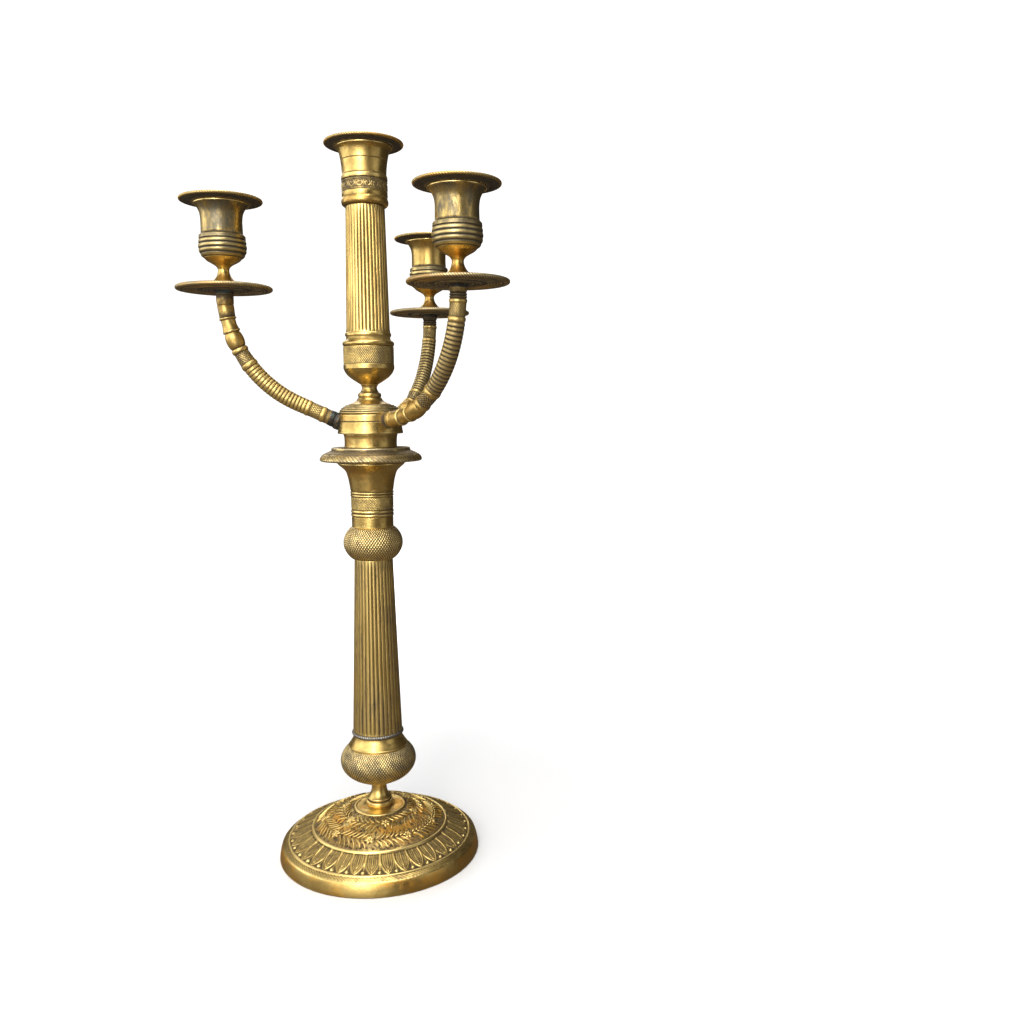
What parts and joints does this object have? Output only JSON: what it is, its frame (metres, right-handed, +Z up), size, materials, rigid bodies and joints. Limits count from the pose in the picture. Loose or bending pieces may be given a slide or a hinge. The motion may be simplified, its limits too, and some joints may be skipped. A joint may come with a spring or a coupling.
{
  "type": "tabletop candelabra",
  "caption": "Gilt brass candelabra: fluted column on a domed foot, branch of swept arms with cups, drip pans and loose candle rings round a raised central socket.",
  "frame": {"origin": "centre of the foot ring's underside, on the column's axis, where it stands on the table", "axes": "+Z up the column; -X along the arm that is mounted end for end; the other arms are 60 degrees either side of +X; -Y is the side seen from in front"},
  "size_m": [0.2011, 0.2328, 0.4827],
  "materials": {
    "rubbed_brass": "chased relief, rubbed, brown in the hollows",
    "burnished_brass": "turned and burnished, lightly tarnished",
    "patinated_brass": "knurled, grey-brown patina with bright tips",
    "fluted_brass": "drawn flutes, gold ridges and dark grooves",
    "arm_brass": "turned rings, worn gilding",
    "dark_bronze": "nearly black patina",
    "iron": "plain forged iron"
  },
  "bodies": {
    "candlestick": {"base_foot": "rubbed_brass", "base_washer": "iron", "base_nut": "iron", "lower_tie_rod": "iron", "stem_ring": "burnished_brass", "short_stem": "burnished_brass", "lower_knop": "patinated_brass", "knop_collar": "burnished_brass", "rope_ring": "patinated_brass", "lower_column": "fluted_brass", "upper_knop": "patinated_brass", "candlestick_nozzle": "burnished_brass"},
    "loose_pan": {"main_pan": "patinated_brass"},
    "branch": {"branch_spigot": "burnished_brass", "upper_nut": "iron", "upper_tie_rod": "iron", "hub_drum": "burnished_brass", "hub_cap": "burnished_brass", "neck_spool": "burnished_brass", "column_cup": "burnished_brass", "upper_column": "fluted_brass", "top_socket": "burnished_brass", "left_hub_collar": "dark_bronze", "arm_studs": "iron", "cup_screws": "iron", "left_arm": "arm_brass", "left_pan_collar": "dark_bronze", "left_drip_pan": "patinated_brass", "left_candle_cup": "burnished_brass", "front_arm": "arm_brass", "front_pan_collar": "dark_bronze", "front_drip_pan": "patinated_brass", "front_candle_cup": "burnished_brass", "back_arm": "arm_brass", "back_pan_collar": "dark_bronze", "back_drip_pan": "patinated_brass", "back_candle_cup": "burnished_brass"},
    "top_candle_ring": {"top_bobeche": "burnished_brass"},
    "left_candle_ring": {"left_bobeche": "burnished_brass"},
    "front_candle_ring": {"front_bobeche": "burnished_brass"},
    "back_candle_ring": {"back_bobeche": "burnished_brass"}
  },
  "joints": [
    {"name": "pan_swivel", "type": "hinge", "parent": "candlestick", "child": "loose_pan", "pos_m": [0, 0, 0.2739], "axis": [0, 0, 1], "continuous": true},
    {"name": "branch_lift", "type": "slide", "parent": "loose_pan", "child": "branch", "axis": [0, 0, 1], "range_m": [0, 0.045]},
    {"name": "top_ring_lift", "type": "slide", "parent": "branch", "child": "top_candle_ring", "axis": [0, 0, 1], "range_m": [0, 0.02]},
    {"name": "left_ring_lift", "type": "slide", "parent": "branch", "child": "left_candle_ring", "axis": [0, 0, 1], "range_m": [0, 0.02]},
    {"name": "front_ring_lift", "type": "slide", "parent": "branch", "child": "front_candle_ring", "axis": [0, 0, 1], "range_m": [0, 0.02]},
    {"name": "back_ring_lift", "type": "slide", "parent": "branch", "child": "back_candle_ring", "axis": [0, 0, 1], "range_m": [0, 0.02]}
  ]
}
